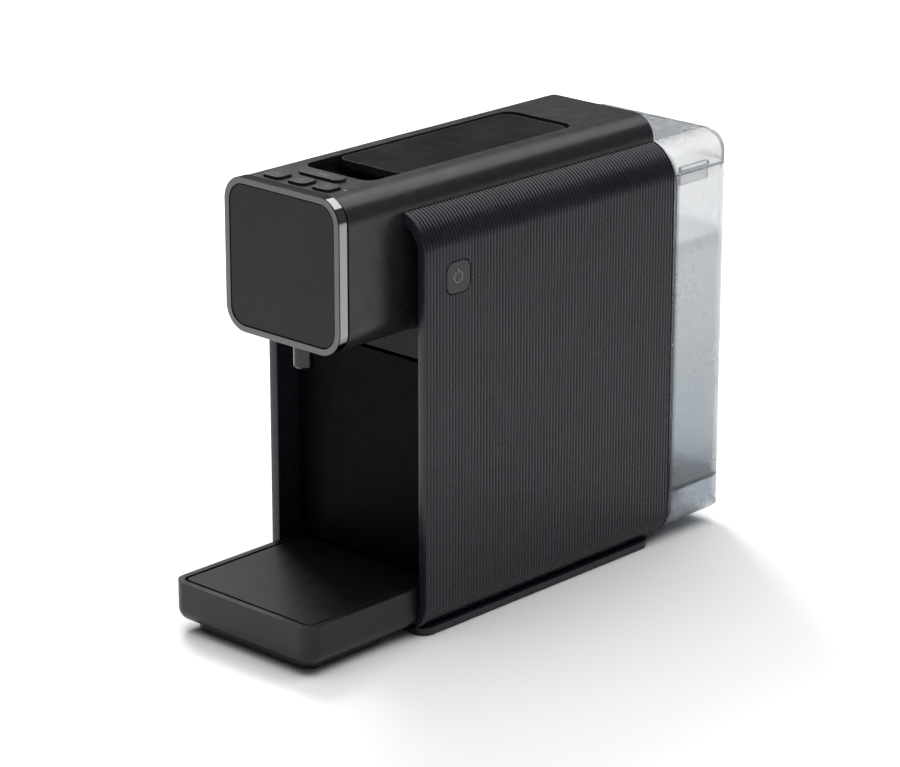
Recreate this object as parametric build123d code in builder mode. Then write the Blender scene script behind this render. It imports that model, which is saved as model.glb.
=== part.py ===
"""Pod coffee machine: a slim free-standing machine with a front brewing head over a cup tray, ribbed side
panels, a lift-up lever on top, a used-pod container in the column and a clear water tank at the back.

Frame: +Z up, the front faces -Y, +X to the right seen from the front. The origin is on the surface the
machine stands on, under the middle of its box. Every size is in millimetres.
"""

import os
from math import asin, cos, degrees, radians, sin

from build123d import *

os.makedirs("parts", exist_ok=True)

# ---------------------------------------------------------------- driving dimensions
half_width = 59.1
half_depth = 166.6
top_z = 250.0
wall = 2.6

# brewing head and upper shell
ring_half = 42.4
ring_bottom = 164.4
ring_radius = 14.0
ring_face_width = 3.8
ring_depth = 6.0
head_front = -132.0
shell_half = 43.0
shell_front = -125.3
shell_back = 115.0
shell_bottom = 165.0
shell_top = 248.5
shell_radius = 14.0

# side panels
panel_front = -85.5
panel_back = 115.0
panel_thickness = 6.0
curl_top_radius = 22.0
curl_top_z = 213.4
curl_top_edge = 43.5
curl_low_radius = 20.0
curl_low_z = 20.0
curl_low_end = 4.6
rib_pitch = 2.43
rib_groove = 0.9
groove_count = 81
groove_depth = 0.5
first_groove = 2.2

# column, drip tray and used-pod container
column_front = -69.5
front_skin = 2.5
column_split = 148.6
split_gap = 2.0
tray_half = 52.7
tray_front = -half_depth
tray_back = -8.0
tray_bottom = 5.0
tray_top = 28.3
tray_radius = 8.5
tray_edge_radius = 8.0
tray_shoulder = -86.2
drawer_half = 51.8
drawer_bottom = 6.6
drawer_edge_radius = 12.9
rim_width = 3.6
groove_width = 1.5
cup_plate_back = -72.0
container_bottom = 29.0

# base
plinth_half = 56.5
plinth_front = -85.0
plinth_back = 104.0
plinth_height = 3.4
front_foot_half = 44.5
front_foot_front = -159.5
front_foot_back = -100.5
neck_half = 36.0
foot_height = 1.0
base_deck = 14.0

# lever, hinge and brew linkage
slot_half = 25.1
slot_front = -92.1
slot_back = 69.6
slot_radius = 8.0
lever_half = 23.9
lever_front = -67.1
lever_back = 66.5
lever_top = 247.7
lever_thickness = 6.2
hinge_y = 57.0
hinge_z = 240.0
hinge_pin_radius = 2.0
running_gap = 0.05
crank_radius = 12.0
lever_angle = 75.0
crank_pin_radius = 1.5
link_length = 56.0

# keys and power button
key_width = 12.8
key_depth = 11.2
key_radius = 3.0
key_pitch = 18.1
key_row_y = -116.2
key_top = top_z
long_key_width = 30.5
long_key_depth = 9.0
long_key_y = -101.2
key_gap = 0.3
power_y = -60.7
power_z = 197.5
power_width = 17.8
power_height = 17.2
power_radius = 5.0

# water tank
tank_front = 116.4
tank_back = half_depth
tank_bottom = 4.5
tank_split = 216.2
tank_top = 232.3
tank_wall = 2.2
tank_floor = 31.0
tank_edge_radius = 16.0
tank_corner_radius = 13.2
shoulder_radius = 22.0
valve_x = 26.0
valve_y = 134.0
cord_x = -28.0

# ---------------------------------------------------------------- worked-out places
ring_mid_z = ring_bottom + ring_half
shell_mid_z = (shell_bottom + shell_top) / 2
shell_height = shell_top - shell_bottom
panel_inner = half_width - panel_thickness
half_swing = radians(lever_angle / 2)
crank_y = hinge_y + crank_radius * sin(half_swing)
crank_z = hinge_z - crank_radius * cos(half_swing)
carriage_pin_y = crank_y - link_length
pod_front = -58.0
pod_back = -24.0
pod_half = 17.0


def across(y):
    """The upright plane across the machine at depth y, with its own y axis pointing up."""
    return Plane.XZ.offset(-y)


def save(piece, name):
    """Label a finished piece and write it to its own STEP file."""
    piece.part.label = name
    export_step(piece.part, f"parts/{name}.step")


def draw_body_outline(gap):
    """The space between the side panels, kept clear of them by gap."""
    low = curl_low_z - (curl_low_radius - panel_thickness) + gap
    high = curl_top_z + curl_top_radius - panel_thickness - gap
    with BuildSketch(mode=Mode.PRIVATE) as outline:
        with Locations((0, (low + high) / 2)):
            Rectangle(2 * (panel_inner - gap), high - low)
        fillet(outline.vertices().group_by(Axis.Y)[0], curl_low_radius - panel_thickness - gap)
        fillet(outline.vertices().group_by(Axis.Y)[-1], curl_top_radius - panel_thickness - gap)
    add(outline.sketch)


def draw_shell_outline(grow, mode=Mode.ADD):
    """The upper shell's outer outline, grown by grow."""
    with Locations((0, shell_mid_z)):
        RectangleRounded(
            2 * (shell_half + grow), shell_height + 2 * grow, shell_radius + grow, mode=mode
        )


# ---------------------------------------------------------------- base
feet_places = [(-42, -70), (42, -70), (-42, 88), (42, 88), (-34, -148), (34, -148)]
foot_radius = 5.5
foot_recess = 1.2
screw_places = [(-40, 16), (40, 16), (-40, 102), (40, 102)]
cord_z = 8.0
cord_hole_radius = 5.2

with BuildPart() as base_plate:
    with BuildSketch(Plane.XY.offset(foot_height)):
        with Locations((0, (plinth_front + plinth_back) / 2)):
            RectangleRounded(2 * plinth_half, plinth_back - plinth_front, 8)
        with Locations((0, (front_foot_front + front_foot_back) / 2)):
            RectangleRounded(2 * front_foot_half, front_foot_back - front_foot_front, 9)
        with Locations((0, (front_foot_back + plinth_front) / 2)):
            Rectangle(2 * neck_half, plinth_front - front_foot_back + 10)
    extrude(amount=plinth_height)
    with BuildSketch(Plane.XY.offset(foot_height)):
        with Locations((0, 55)):
            Rectangle(93.6, 114)
    extrude(amount=base_deck - foot_height)
    with BuildSketch(Plane.XY.offset(6)):
        with Locations((0, 53)):
            Rectangle(84, 88)
    extrude(amount=base_deck, mode=Mode.SUBTRACT)
    with Locations(*[(x, y, 3) for x, y in screw_places]):
        Cylinder(4.5, 11, align=(Align.CENTER, Align.CENTER, Align.MIN))
    with BuildSketch(Plane.XY.offset(foot_height)):
        with Locations(*feet_places):
            Circle(foot_radius + 0.3)
    extrude(amount=foot_recess, mode=Mode.SUBTRACT)
    with Locations(*[(x, y, foot_height) for x, y in screw_places]):
        Cylinder(3.4, 3, align=(Align.CENTER, Align.CENTER, Align.MIN), mode=Mode.SUBTRACT)
        Cylinder(1.6, 14, align=(Align.CENTER, Align.CENTER, Align.MIN), mode=Mode.SUBTRACT)
    with BuildSketch(across(96)):
        with Locations((cord_x, cord_z)):
            Circle(cord_hole_radius)
    extrude(amount=-20, mode=Mode.SUBTRACT)
save(base_plate, "base_plate")

with BuildPart() as rubber_feet:
    with BuildSketch(Plane.XY):
        with Locations(*feet_places):
            Circle(foot_radius)
    extrude(amount=foot_height + foot_recess)
    chamfer(rubber_feet.edges().group_by(Axis.Z)[0], 0.4)
save(rubber_feet, "rubber_feet")

with BuildPart() as case_screws:
    with Locations(*[(x, y, 1.8) for x, y in screw_places]):
        Cylinder(3.0, 2.2, align=(Align.CENTER, Align.CENTER, Align.MIN))
        Cylinder(1.45, 11.5, align=(Align.CENTER, Align.CENTER, Align.MIN))
        Cylinder(1.0, 1.2, align=(Align.CENTER, Align.CENTER, Align.MIN), mode=Mode.SUBTRACT)
save(case_screws, "case_screws")

with BuildPart() as cable_grommet:
    with BuildSketch(across(96.4)):
        with Locations((cord_x, cord_z)):
            Circle(cord_hole_radius - 0.2)
    extrude(amount=-16)
    with BuildSketch(across(94.6)):
        with Locations((cord_x, 9.9)):
            RectangleRounded(13.5, 7, 1)
    extrude(amount=-2)
    with BuildSketch(across(94)):
        with Locations((cord_x, cord_z)):
            Circle(3.5)
    extrude(amount=-20, mode=Mode.SUBTRACT)
save(cable_grommet, "cable_grommet")

# ---------------------------------------------------------------- ribbed side panels
top_centre_x = half_width - curl_top_radius
low_centre_x = half_width - curl_low_radius
low_angle = degrees(asin((curl_low_z - curl_low_end) / curl_low_radius))
panel_length = panel_back - panel_front


def draw_panel_band(outer_inset, inner_inset):
    """The panel seen from its end, between two insets from its outside, before its ends are cut."""
    with BuildSketch(mode=Mode.PRIVATE) as band:
        for inset, mode in ((outer_inset, Mode.ADD), (inner_inset, Mode.SUBTRACT)):
            with BuildLine():
                top = CenterArc((top_centre_x, curl_top_z), curl_top_radius - inset, 0, 90)
                low = CenterArc((low_centre_x, curl_low_z), curl_low_radius - inset, 0, -low_angle)
                Line(top @ 0, low @ 0)
                Polyline(top @ 1, (0, curl_top_z), (low_centre_x, curl_low_z), low @ 1)
            make_face(mode=mode)
    add(band.sketch)


with BuildPart() as right_side_panel:
    with BuildSketch(across(panel_front)):
        draw_panel_band(0, panel_thickness)
        with Locations((0, curl_top_z)):
            Rectangle(2 * curl_top_edge, 2 * curl_top_radius + 4, mode=Mode.SUBTRACT)
    extrude(amount=-panel_length)
    for groove in range(groove_count):
        groove_front = panel_front + first_groove + groove * rib_pitch
        with BuildSketch(across(groove_front)):
            draw_panel_band(-1, groove_depth)
        extrude(amount=-rib_groove, mode=Mode.SUBTRACT)

with BuildPart() as left_side_panel:
    add(right_side_panel.part)
    mirror(about=Plane.YZ, mode=Mode.REPLACE)
save(left_side_panel, "left_side_panel")

with BuildPart(mode=Mode.PRIVATE) as power_hole:
    with BuildSketch(Plane.YZ.offset(panel_inner - 4)):
        with Locations((power_y, power_z)):
            RectangleRounded(power_width + 0.7, power_height + 0.7, power_radius + 0.35)
    extrude(amount=panel_thickness + 8)

with BuildPart() as right_panel_cut:
    add(right_side_panel.part)
    add(power_hole.part, mode=Mode.SUBTRACT)
save(right_panel_cut, "right_side_panel")

# ---------------------------------------------------------------- upper shell and head
open_from = column_front + front_skin
open_top = shell_bottom + shell_radius
key_places = [(-key_pitch, key_row_y), (0, key_row_y), (key_pitch, key_row_y)]
lens_width = 2.8
lens_depth = 2.0
lens_y = key_row_y + key_depth / 2 - 1.0
lens_places = [(-key_pitch / 2, lens_y), (key_pitch / 2, lens_y), (1.5 * key_pitch, lens_y)]
nozzle_y = -117.0
nozzle_radius = 5.2
nozzle_bottom = 148.4

with BuildPart() as upper_shell:
    with BuildSketch(across(shell_front)):
        draw_shell_outline(0)
        draw_shell_outline(-wall, mode=Mode.SUBTRACT)
    extrude(amount=-(shell_back - shell_front))
    with BuildSketch(across(open_from)):
        with Locations((0, open_top - 10)):
            Rectangle(2 * shell_half + 4, 20)
    extrude(amount=-(shell_back - open_from), mode=Mode.SUBTRACT)
    with BuildSketch(Plane.XY.offset(shell_top - 6)):
        with Locations((0, (slot_front + slot_back) / 2)):
            RectangleRounded(2 * slot_half, slot_back - slot_front, slot_radius)
        with Locations(*key_places):
            RectangleRounded(key_width + 2 * key_gap, key_depth + 2 * key_gap, key_radius + key_gap)
        with Locations((0, long_key_y)):
            RectangleRounded(
                long_key_width + 2 * key_gap, long_key_depth + 2 * key_gap, long_key_depth / 2
            )
        with Locations(*lens_places):
            RectangleRounded(lens_width, lens_depth, 0.6)
    extrude(amount=12, mode=Mode.SUBTRACT)
    with Locations((0, nozzle_y, shell_bottom + 1)):
        Cylinder(nozzle_radius + 0.3, 8, mode=Mode.SUBTRACT)
save(upper_shell, "upper_shell")

with BuildPart() as front_bezel:
    with BuildSketch(across(head_front)):
        with Locations((0, ring_mid_z)):
            RectangleRounded(2 * ring_half, 2 * ring_half, ring_radius)
            RectangleRounded(
                2 * (ring_half - ring_face_width),
                2 * (ring_half - ring_face_width),
                ring_radius - ring_face_width,
                mode=Mode.SUBTRACT,
            )
    extrude(amount=-ring_depth)
    chamfer(front_bezel.edges().group_by(Axis.Y)[0], 0.35)
    with BuildSketch(across(head_front + ring_depth)):
        draw_shell_outline(-wall - 0.3)
        draw_shell_outline(-wall - 2.1, mode=Mode.SUBTRACT)
    extrude(amount=-2)
save(front_bezel, "front_bezel")

with BuildPart() as front_plate:
    plate_half = ring_half - ring_face_width - 0.15
    with BuildSketch(across(head_front + 0.4)):
        with Locations((0, ring_mid_z)):
            RectangleRounded(2 * plate_half, 2 * plate_half, ring_radius - ring_face_width - 0.15)
    extrude(amount=-3)
    chamfer(front_plate.edges().group_by(Axis.Y)[0], 0.3)
save(front_plate, "front_plate")

with BuildPart() as column_cover:
    with BuildSketch(across(column_front)):
        draw_body_outline(0.3)
        with Locations((0, 0)):
            Rectangle(2 * half_width, 2 * (column_split + split_gap / 2), mode=Mode.SUBTRACT)
        draw_shell_outline(0.3, mode=Mode.SUBTRACT)
    extrude(amount=-front_skin)
    with Locations((53, column_front, power_z)):
        Box(8, 10, 28, mode=Mode.SUBTRACT)
save(column_cover, "column_cover")

with BuildPart() as rear_cover:
    with BuildSketch(across(shell_back - front_skin)):
        draw_body_outline(0.3)
        draw_shell_outline(0.3, mode=Mode.SUBTRACT)
        draw_shell_outline(-wall - 0.2)
        with Locations((0, open_top - 0.3)):
            Rectangle(2 * (shell_half + 0.3), 30, align=(Align.CENTER, Align.MAX))
    extrude(amount=-front_skin)
    with Locations((valve_x, shell_back, 18)):
        Cylinder(3.2, 20, rotation=(90, 0, 0), mode=Mode.SUBTRACT)
    with BuildSketch(across(shell_back - front_skin - 1)):
        with Locations((cord_x, 7)):
            Rectangle(13, 13)
    extrude(amount=-front_skin - 2, mode=Mode.SUBTRACT)
    with BuildSketch(across(shell_back - front_skin - 1)):
        with GridLocations(0, 5, 1, 6):
            with Locations((0, 205)):
                SlotOverall(44, 2.2)
    extrude(amount=-front_skin - 2, mode=Mode.SUBTRACT)
save(rear_cover, "rear_cover")

with BuildPart() as coffee_nozzle:
    with Locations((0, nozzle_y, nozzle_bottom)):
        Cylinder(nozzle_radius, 20.7, align=(Align.CENTER, Align.CENTER, Align.MIN))
    chamfer(coffee_nozzle.edges().group_by(Axis.Z)[0], 0.8)
    with Locations((0, nozzle_y, shell_bottom + wall + 0.1)):
        Cylinder(6.6, 1.4, align=(Align.CENTER, Align.CENTER, Align.MIN))
    with Locations((0, nozzle_y, nozzle_bottom)):
        Cylinder(2.0, 26, align=(Align.CENTER, Align.CENTER, Align.MIN), mode=Mode.SUBTRACT)
        Cylinder(3.6, 3, align=(Align.CENTER, Align.CENTER, Align.MIN), mode=Mode.SUBTRACT)
save(coffee_nozzle, "coffee_nozzle")

# ---------------------------------------------------------------- keys, their board and lights
key_skirt = 0.9
key_low = 243.9
key_edge = 0.35
key_mark_depth = 0.25
key_mark_width = 0.7
board_top = 241.2


def build_key(name, x, y, width, depth, radius, mark_length):
    """One key cap: the cap with its cut mark, and the skirt that keeps it under the shell."""
    with BuildPart() as key:
        with BuildSketch(Plane.XY.offset(key_low)):
            with Locations((x, y)):
                RectangleRounded(width, depth, radius)
        extrude(amount=key_top - key_low)
        fillet(key.edges().group_by(Axis.Z)[-1], key_edge)
        with BuildSketch(Plane.XY.offset(key_top)):
            with Locations((x, y)):
                Rectangle(mark_length, key_mark_width)
        extrude(amount=-key_mark_depth, mode=Mode.SUBTRACT)
        with BuildSketch(Plane.XY.offset(key_low)):
            with Locations((x, y)):
                RectangleRounded(width + 2 * key_skirt, depth + 2 * key_skirt, radius + key_skirt)
        extrude(amount=1.2)
    save(key, name)


small_keys = [("key_small_left", 1.8), ("key_small_middle", 2.4), ("key_small_right", 3.0)]
for (key_name, key_mark), (key_x, key_y) in zip(small_keys, key_places):
    build_key(key_name, key_x, key_y, key_width, key_depth, key_radius, key_mark)
build_key("key_long", 0, long_key_y, long_key_width, long_key_depth, long_key_depth / 2 - 0.01, 6.5)

with BuildPart() as control_board:
    with BuildSketch(Plane.XY.offset(board_top - 1.6)):
        with Locations((0, -110.5)):
            Rectangle(66, 26)
    extrude(amount=1.6)
    with BuildSketch(Plane.XY.offset(board_top - 6.6)):
        with Locations((0, -110.5)):
            Rectangle(18, 14)
        with Locations((-24, -110.5), (24, -110.5)):
            Rectangle(9, 12)
    extrude(amount=5)
save(control_board, "control_board")

with BuildPart() as key_switches:
    with BuildSketch(Plane.XY.offset(board_top)):
        with Locations(*key_places, (-9, long_key_y), (9, long_key_y)):
            RectangleRounded(5, 5, 0.6)
    extrude(amount=1.2)
    with BuildSketch(Plane.XY.offset(board_top + 1.2)):
        with Locations(*key_places, (-9, long_key_y), (9, long_key_y)):
            Circle(1.4)
    extrude(amount=0.4)
save(key_switches, "key_switches")

with BuildPart() as indicator_lenses:
    with BuildSketch(Plane.XY.offset(board_top + 0.2)):
        with Locations(*lens_places):
            RectangleRounded(lens_width - 0.2, lens_depth - 0.2, 0.5)
    extrude(amount=shell_top - board_top - 0.3)
save(indicator_lenses, "indicator_lenses")

symbol_radius = 3.4
symbol_line = 0.6

with BuildPart() as power_button:
    with BuildSketch(Plane.YZ.offset(panel_inner - 0.3)):
        with Locations((power_y, power_z)):
            RectangleRounded(power_width, power_height, power_radius)
    extrude(amount=half_width - panel_inner + 0.3)
    fillet(power_button.edges().group_by(Axis.X)[-1], 0.4)
    with BuildSketch(Plane.YZ.offset(panel_inner - 1.5)):
        with Locations((power_y, power_z)):
            RectangleRounded(power_width + 3, power_height + 3, power_radius + 1.5)
    extrude(amount=1.2)
    with BuildSketch(Plane.YZ.offset(panel_inner - 3.4)):
        with Locations((power_y, power_z)):
            Circle(1.6)
    extrude(amount=1.9)
    with BuildSketch(Plane.YZ.offset(half_width - 0.3)):
        with Locations((power_y, power_z)):
            Circle(symbol_radius)
            Circle(symbol_radius - symbol_line, mode=Mode.SUBTRACT)
        with Locations((power_y, power_z + symbol_radius)):
            Rectangle(4 * symbol_line, 2 * symbol_radius - 2, mode=Mode.SUBTRACT)
            Rectangle(symbol_line, symbol_radius)
    extrude(amount=1, mode=Mode.SUBTRACT)
save(power_button, "power_button")

with BuildPart() as power_switch:
    with BuildSketch(Plane.YZ.offset(shell_half + 0.1)):
        with Locations((power_y, power_z)):
            RectangleRounded(12, 12, 1)
    extrude(amount=4)
    with BuildSketch(Plane.YZ.offset(shell_half + 4.1)):
        with Locations((power_y, power_z)):
            Circle(1.8)
    extrude(amount=0.8)
save(power_switch, "power_switch")

# ---------------------------------------------------------------- lever well and lever
well_wall = 1.8
well_floor = 235.0
well_top = shell_top - wall - 0.1
scoop_radius = 7.8
pit_front = 44.0

slot_middle = (slot_front + slot_back) / 2
slot_length = slot_back - slot_front
well_depth = 20.0
well_base = 1.6

with BuildPart(mode=Mode.PRIVATE) as well_hollow:
    with BuildSketch(Plane.XY.offset(well_floor)):
        with Locations((0, slot_middle)):
            RectangleRounded(2 * slot_half, slot_length, slot_radius)
    extrude(amount=well_depth)
    low_edges = well_hollow.edges().group_by(Axis.Z)[0]
    fillet(low_edges.sort_by(Axis.Y)[0], scoop_radius)
    with BuildSketch(Plane.XY.offset(well_floor - 2 * well_base)):
        with Locations((0, slot_middle)):
            RectangleRounded(2 * slot_half, slot_length, slot_radius)
        with Locations((0, (slot_front + pit_front) / 2)):
            Rectangle(2 * slot_half, pit_front - slot_front, mode=Mode.SUBTRACT)
        with Locations((0, (pod_front + pod_back) / 2)):
            Rectangle(2 * pod_half + 1, pod_back - pod_front + 1)
    extrude(amount=well_depth)

with BuildPart() as lever_well:
    with BuildSketch(Plane.XY.offset(well_floor - well_base)):
        with Locations((0, slot_middle)):
            RectangleRounded(
                2 * (slot_half + well_wall), slot_length + 2 * well_wall, slot_radius + well_wall
            )
    extrude(amount=well_top - well_floor + well_base)
    add(well_hollow.part, mode=Mode.SUBTRACT)
    with Locations((0, hinge_y, hinge_z)):
        Cylinder(hinge_pin_radius, 80, rotation=(0, 90, 0), mode=Mode.SUBTRACT)
save(lever_well, "lever_well")

with BuildPart() as lever_hinge_pin:
    with Locations((0, hinge_y, hinge_z)):
        Cylinder(hinge_pin_radius, 2 * (slot_half + well_wall), rotation=(0, 90, 0))
save(lever_hinge_pin, "lever_hinge_pin")

pad_inset = 0.7
pad_depth = 0.9
arm_inner = 14.0
arm_outer = 18.0
barrel_radius = 4.5

with BuildPart() as lever_frame:
    with BuildSketch(Plane.XY.offset(lever_top - lever_thickness)):
        with Locations((0, (lever_front + lever_back) / 2)):
            RectangleRounded(2 * lever_half, lever_back - lever_front, slot_radius - 1.2)
    extrude(amount=lever_thickness)
    fillet(lever_frame.edges().group_by(Axis.Z)[0].group_by(Axis.Y)[0], 3)
    with BuildSketch(Plane.XY.offset(lever_top - lever_thickness)):
        with Locations((0, -8)):
            Rectangle(2 * lever_half - 6, 96)
    extrude(amount=lever_thickness - 3.4, mode=Mode.SUBTRACT)
    with BuildSketch(Plane.XY.offset(lever_top - pad_depth)):
        with Locations((0, (lever_front + lever_back) / 2)):
            RectangleRounded(
                2 * (lever_half - pad_inset), lever_back - lever_front - 2 * pad_inset, slot_radius - 1.9
            )
    extrude(amount=2, mode=Mode.SUBTRACT)
    with Locations((0, hinge_y, hinge_z)):
        Cylinder(barrel_radius, 2 * lever_half, rotation=(0, 90, 0))
    for side in (-1, 1):
        with BuildSketch(Plane.YZ.offset(side * (arm_inner + arm_outer) / 2)):
            with BuildLine():
                Polyline(
                    (hinge_y - barrel_radius, hinge_z),
                    (crank_y - 3.4, crank_z),
                    (crank_y + 3.4, crank_z),
                    (hinge_y + barrel_radius, hinge_z),
                    close=True,
                )
            make_face()
            with Locations((crank_y, crank_z)):
                Circle(3.4)
        extrude(amount=(arm_outer - arm_inner) / 2, both=True)
    with Locations((0, crank_y, crank_z)):
        Cylinder(crank_pin_radius, 80, rotation=(0, 90, 0), mode=Mode.SUBTRACT)
    with Locations((0, hinge_y, hinge_z)):
        Cylinder(hinge_pin_radius + running_gap, 80, rotation=(0, 90, 0), mode=Mode.SUBTRACT)
save(lever_frame, "lever_frame")

with BuildPart() as lever_pad:
    with BuildSketch(Plane.XY.offset(lever_top - pad_depth)):
        with Locations((0, (lever_front + lever_back) / 2)):
            RectangleRounded(
                2 * (lever_half - pad_inset), lever_back - lever_front - 2 * pad_inset, slot_radius - 1.9
            )
    extrude(amount=pad_depth)
save(lever_pad, "lever_pad")

with BuildPart() as crank_pin:
    with Locations((0, crank_y, crank_z)):
        Cylinder(crank_pin_radius, 2 * arm_outer, rotation=(0, 90, 0))
save(crank_pin, "crank_pin")

# ---------------------------------------------------------------- links, carriage and brew housing
link_inner = 9.4
link_outer = 13.4
link_half_height = 2.5
rail_inner = 18.5
rail_outer = 22.5
rail_low = 208.0
rail_high = 216.0
rail_back = carriage_pin_y + 6.5
fork_top = 232.9
carriage_pin_radius = 1.5
fork_gap = 0.5

for side, link_name in ((-1, "left_link"), (1, "right_link")):
    with BuildPart() as link:
        with BuildSketch(Plane.YZ.offset(side * (link_inner + link_outer) / 2)):
            with Locations(((crank_y + carriage_pin_y) / 2, crank_z)):
                SlotCenterToCenter(link_length, 2 * link_half_height)
            with Locations((crank_y, crank_z)):
                Circle(crank_pin_radius + running_gap, mode=Mode.SUBTRACT)
            with Locations((carriage_pin_y, crank_z)):
                Circle(carriage_pin_radius, mode=Mode.SUBTRACT)
        extrude(amount=(link_outer - link_inner) / 2, both=True)
    save(link, link_name)

with BuildPart() as carriage_pin:
    with Locations((0, carriage_pin_y, crank_z)):
        Cylinder(carriage_pin_radius, 2 * rail_outer, rotation=(0, 90, 0))
save(carriage_pin, "carriage_pin")

with BuildPart() as brew_carriage:
    with BuildSketch(across(pod_front - 6)):
        with Locations((0, 202)):
            Rectangle(2 * rail_outer, 32)
    extrude(amount=-6)
    for side in (-1, 1):
        with BuildSketch(Plane.YZ.offset(side * (rail_inner + rail_outer) / 2)):
            with Locations(((pod_front - 6 + rail_back) / 2, (rail_low + rail_high) / 2)):
                Rectangle(rail_back - pod_front + 6, rail_high - rail_low)
            with Locations((carriage_pin_y, (rail_low + fork_top) / 2)):
                Rectangle(13, fork_top - rail_low)
            slot_low = hinge_z - crank_radius - carriage_pin_radius - fork_gap
            with Locations((carriage_pin_y, (slot_low + fork_top + 4) / 2)):
                Rectangle(
                    2 * (carriage_pin_radius + fork_gap), fork_top + 4 - slot_low, mode=Mode.SUBTRACT
                )
        extrude(amount=(rail_outer - rail_inner) / 2, both=True)
    with Locations((0, pod_front - 6, 192)):
        Cylinder(3, 12, rotation=(90, 0, 0))
    with Locations((0, pod_front - 6, 192)):
        Cylinder(1.5, 30, rotation=(90, 0, 0), mode=Mode.SUBTRACT)
save(brew_carriage, "brew_carriage")

needle_z = 203.0


def build_needle_plate(name, face_y, direction):
    """A steel disc with hollow needles; direction is the way along Y that they point."""
    with BuildPart() as plate:
        with BuildSketch(across(face_y)):
            with Locations((0, needle_z)):
                Circle(13)
                Circle(1.0, mode=Mode.SUBTRACT)
        extrude(amount=-1.5 * direction)
        with BuildSketch(across(face_y + 1.5 * direction)):
            with Locations((0, needle_z)):
                with PolarLocations(8, 3):
                    Circle(1.2)
        extrude(amount=-4.5 * direction, taper=10)
    save(plate, name)


build_needle_plate("inlet_needle_plate", pod_back + 1.5, -1)
build_needle_plate("outlet_needle_plate", pod_front, 1)

housing_inner = rail_outer + 0.7
housing_outer = housing_inner + 3
deck_low = 150.0
deck_high = 153.0
housing_top = 218.5

with BuildPart() as brew_housing:
    for side in (-1, 1):
        with BuildSketch(Plane.YZ.offset(side * (housing_inner + housing_outer) / 2)):
            with Locations((-25, (deck_high + housing_top) / 2)):
                Rectangle(82, housing_top - deck_high)
        extrude(amount=(housing_outer - housing_inner) / 2, both=True)
    with BuildSketch(across(pod_back + 1.5)):
        with Locations((0, 195)):
            Rectangle(2 * housing_inner, 22)
        with Locations((0, 204)):
            Rectangle(2 * (rail_inner - 0.7), 40)
    extrude(amount=-12)
    with BuildSketch(across(pod_back + 13.5)):
        with Locations((12, 200)):
            Circle(3)
    extrude(amount=-5)
    with BuildSketch(across(pod_back - 4)):
        with Locations((12, 200)):
            Circle(1.5)
    extrude(amount=-30, mode=Mode.SUBTRACT)
save(brew_housing, "brew_housing")

with BuildPart() as coffee_duct:
    with BuildSketch(Plane.YZ):
        with BuildLine():
            Polyline(
                (-124, 169.6),
                (-64, 173),
                (-64, 183),
                (-90, 183),
                (-124, 178),
                close=True,
            )
        make_face()
    extrude(amount=8, both=True)
    with BuildSketch(Plane.YZ):
        with BuildLine():
            Polyline(
                (-122.4, 171.4),
                (-65.6, 174.6),
                (-65.6, 190),
                (-122.4, 190),
                close=True,
            )
        make_face()
    extrude(amount=6.4, both=True, mode=Mode.SUBTRACT)
    with Locations((0, nozzle_y, 172)):
        Cylinder(2.2, 12, mode=Mode.SUBTRACT)
save(coffee_duct, "coffee_duct")

# ---------------------------------------------------------------- chassis
frame_inner = 47.0
frame_outer = 49.5
bulkhead_y = 2.0
tube_x = -16.0
tube_y = 9.0

with BuildPart() as chassis:
    for side in (-1, 1):
        with BuildSketch(Plane.YZ.offset(side * (frame_inner + frame_outer) / 2)):
            with BuildLine():
                Polyline(
                    (-66, 29.6),
                    (bulkhead_y, 29.6),
                    (bulkhead_y, base_deck),
                    (112, base_deck),
                    (112, 163),
                    (-66, 163),
                    close=True,
                )
            make_face()
        extrude(amount=(frame_outer - frame_inner) / 2, both=True)
    with BuildSketch(Plane.XY.offset(deck_low)):
        with Locations((0, 23)):
            Rectangle(2 * frame_inner, 178)
        with Locations((0, (pod_front + pod_back) / 2)):
            Rectangle(40, 44, mode=Mode.SUBTRACT)
        with Locations((tube_x, tube_y)):
            Circle(3, mode=Mode.SUBTRACT)
        with Locations((26, 100)):
            Circle(5, mode=Mode.SUBTRACT)
    extrude(amount=deck_high - deck_low)
    with BuildSketch(across(bulkhead_y)):
        with Locations((0, (base_deck + deck_low) / 2)):
            Rectangle(2 * frame_inner, deck_low - base_deck)
    extrude(amount=-2.5)
save(chassis, "chassis")

# ---------------------------------------------------------------- pump, heater, boards and tubes
pump_z = 51.0

with BuildPart() as pump:
    with BuildSketch(across(30)):
        with Locations((tube_x, pump_z)):
            RectangleRounded(46, 44, 3)
    extrude(amount=-50)
    with BuildSketch(across(80)):
        with Locations((tube_x, pump_z)):
            Circle(12)
    extrude(amount=-17)
    with BuildSketch(across(18)):
        with Locations((tube_x, pump_z)):
            Circle(7)
    extrude(amount=-12)
    with Locations((tube_x, 91, 60)):
        Cylinder(3, 10, align=(Align.CENTER, Align.CENTER, Align.MIN))
save(pump, "pump")

with BuildPart() as pump_mounts:
    for mount_y, hole in ((22, 7.1), (86, 12.1)):
        with BuildSketch(across(mount_y)):
            with Locations((tube_x, 34)):
                Rectangle(34, 56)
            with Locations((tube_x, pump_z)):
                Circle(hole, mode=Mode.SUBTRACT)
        extrude(amount=-4)
save(pump_mounts, "pump_mounts")

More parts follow.
